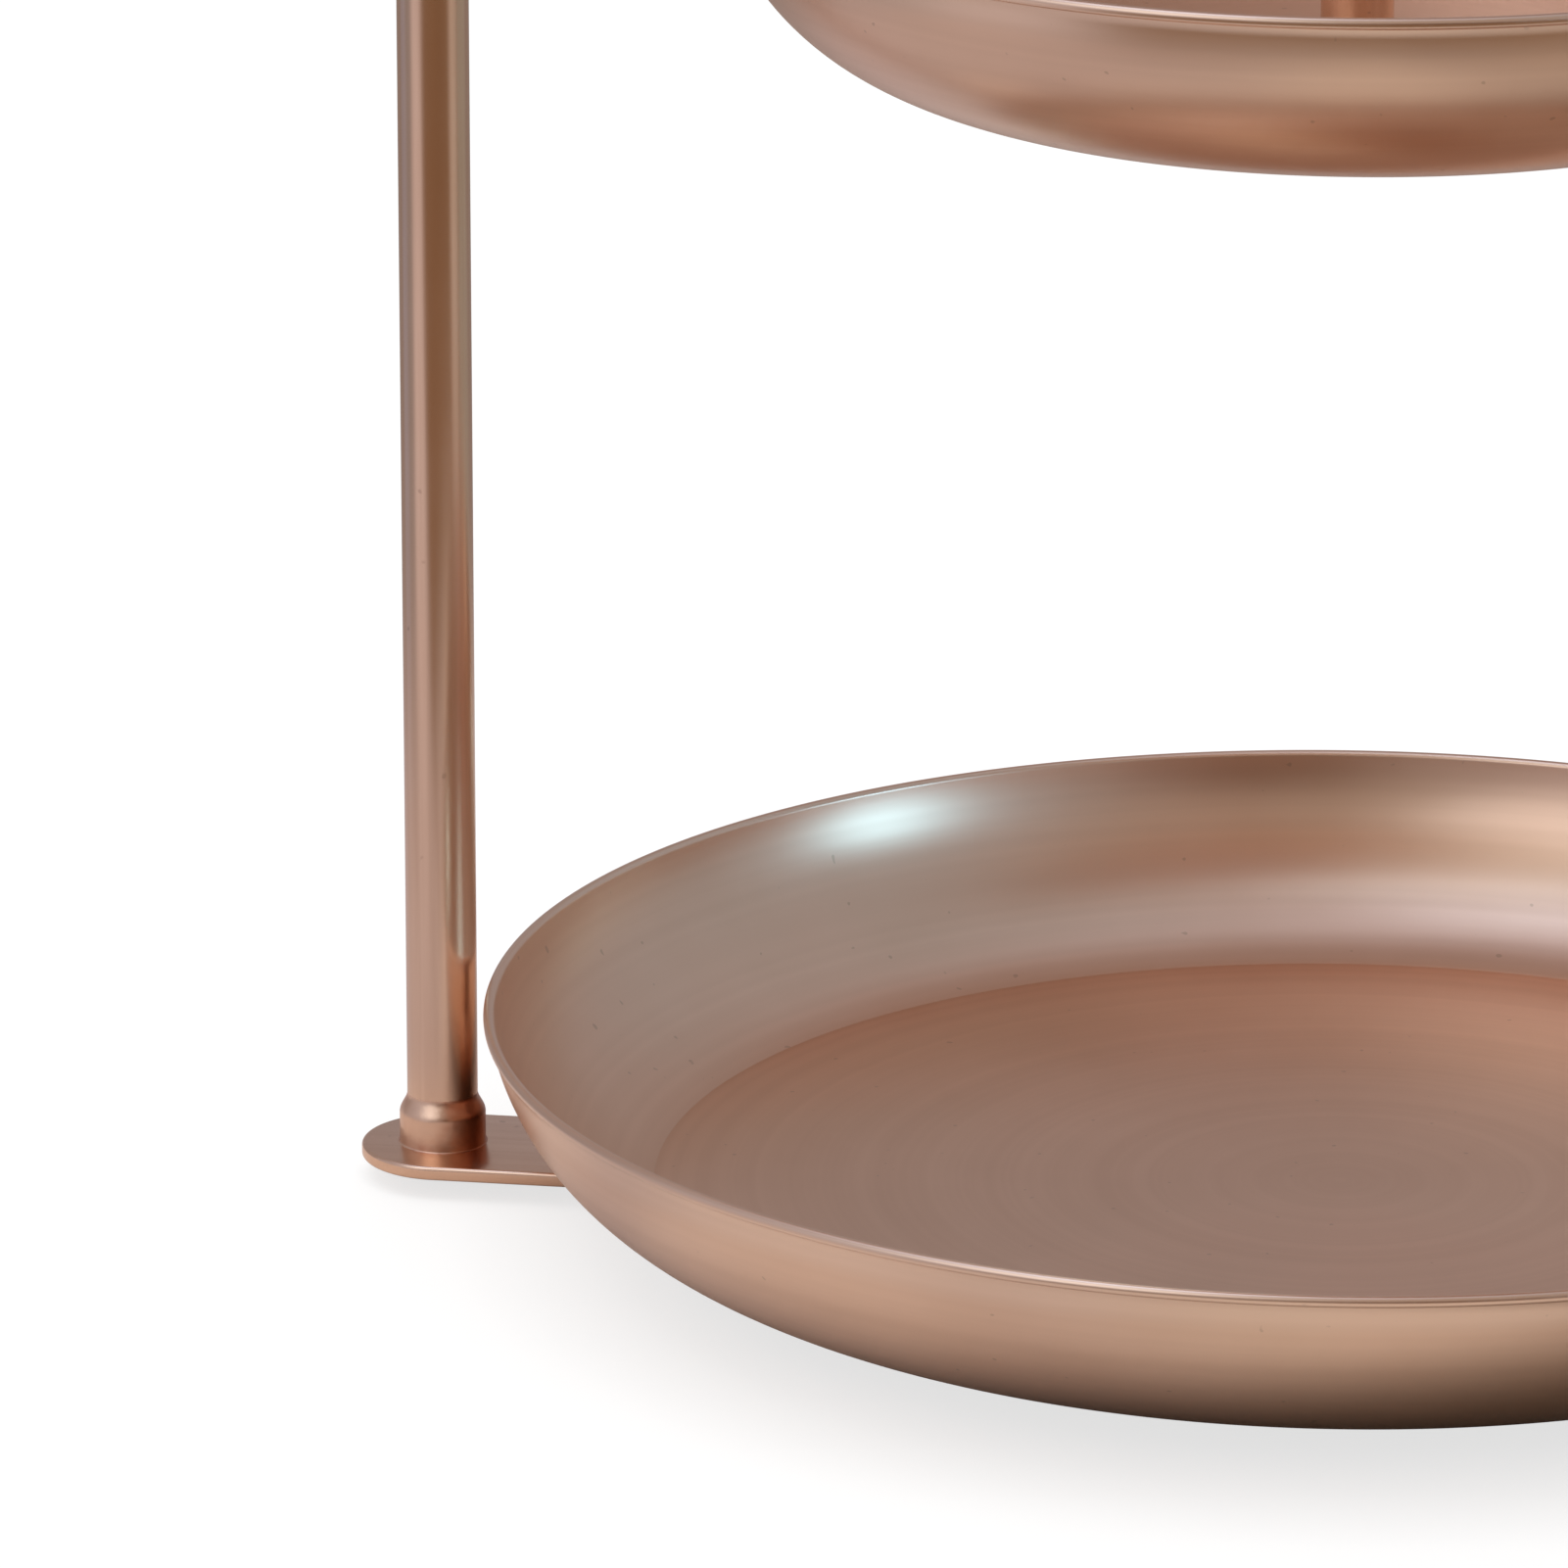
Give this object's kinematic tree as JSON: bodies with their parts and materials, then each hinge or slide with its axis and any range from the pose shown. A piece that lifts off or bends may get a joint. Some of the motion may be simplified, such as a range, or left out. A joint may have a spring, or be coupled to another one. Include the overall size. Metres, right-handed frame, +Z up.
{
  "type": "tiered cake stand",
  "caption": "Two-tier serving stand: a round dish on a flat bar, two posts joined by a half-round bow, and a smaller dish that turns on a rod hung from the bow.",
  "frame": {"origin": "on the table under the middle of the stand, level with the undersides of the rubber feet", "axes": "+Z up along the centre rod, +X along the base bar towards the right post, +Y towards the back"},
  "size_m": [0.279, 0.24, 0.3388],
  "materials": {
    "copper_trays": "satin rose-copper plate on pressed steel sheet",
    "copper_frame": "satin rose-copper plate on steel tube, bar and screw heads",
    "plain_steel": "plain zinc plate on hidden plugs, studs, nuts and foot screws",
    "glide_washers": "natural nylon",
    "rubber_feet": "soft black rubber"
  },
  "bodies": {
    "frame": {"base_bar": "copper_frame", "left_foot_ferrule": "copper_frame", "right_foot_ferrule": "copper_frame", "left_post": "copper_frame", "right_post": "copper_frame", "left_foot_plug": "plain_steel", "right_foot_plug": "plain_steel", "left_foot_screw": "plain_steel", "right_foot_screw": "plain_steel", "left_joiner": "plain_steel", "right_joiner": "plain_steel", "left_bar_pad": "rubber_feet", "right_bar_pad": "rubber_feet", "front_left_bumper": "rubber_feet", "front_right_bumper": "rubber_feet", "back_left_bumper": "rubber_feet", "back_right_bumper": "rubber_feet", "lower_tray": "copper_trays", "lower_tray_studs": "plain_steel", "lower_tray_nuts": "plain_steel", "bow": "copper_frame", "saddle_washer": "copper_frame", "top_screw": "copper_frame", "rod_saddle": "copper_frame", "centre_rod": "copper_frame", "rod_top_plug": "plain_steel", "rod_foot_plug": "plain_steel", "upper_glide_washer": "glide_washers", "lower_glide_washer": "glide_washers", "pivot_screw": "copper_frame"},
    "upper_tray": {"upper_tray": "copper_trays"}
  },
  "joints": [
    {"name": "upper_tray_turn", "type": "hinge", "parent": "frame", "child": "upper_tray", "pos_m": [0, 0, 0.168], "axis": [0, 0, 1], "continuous": true}
  ]
}
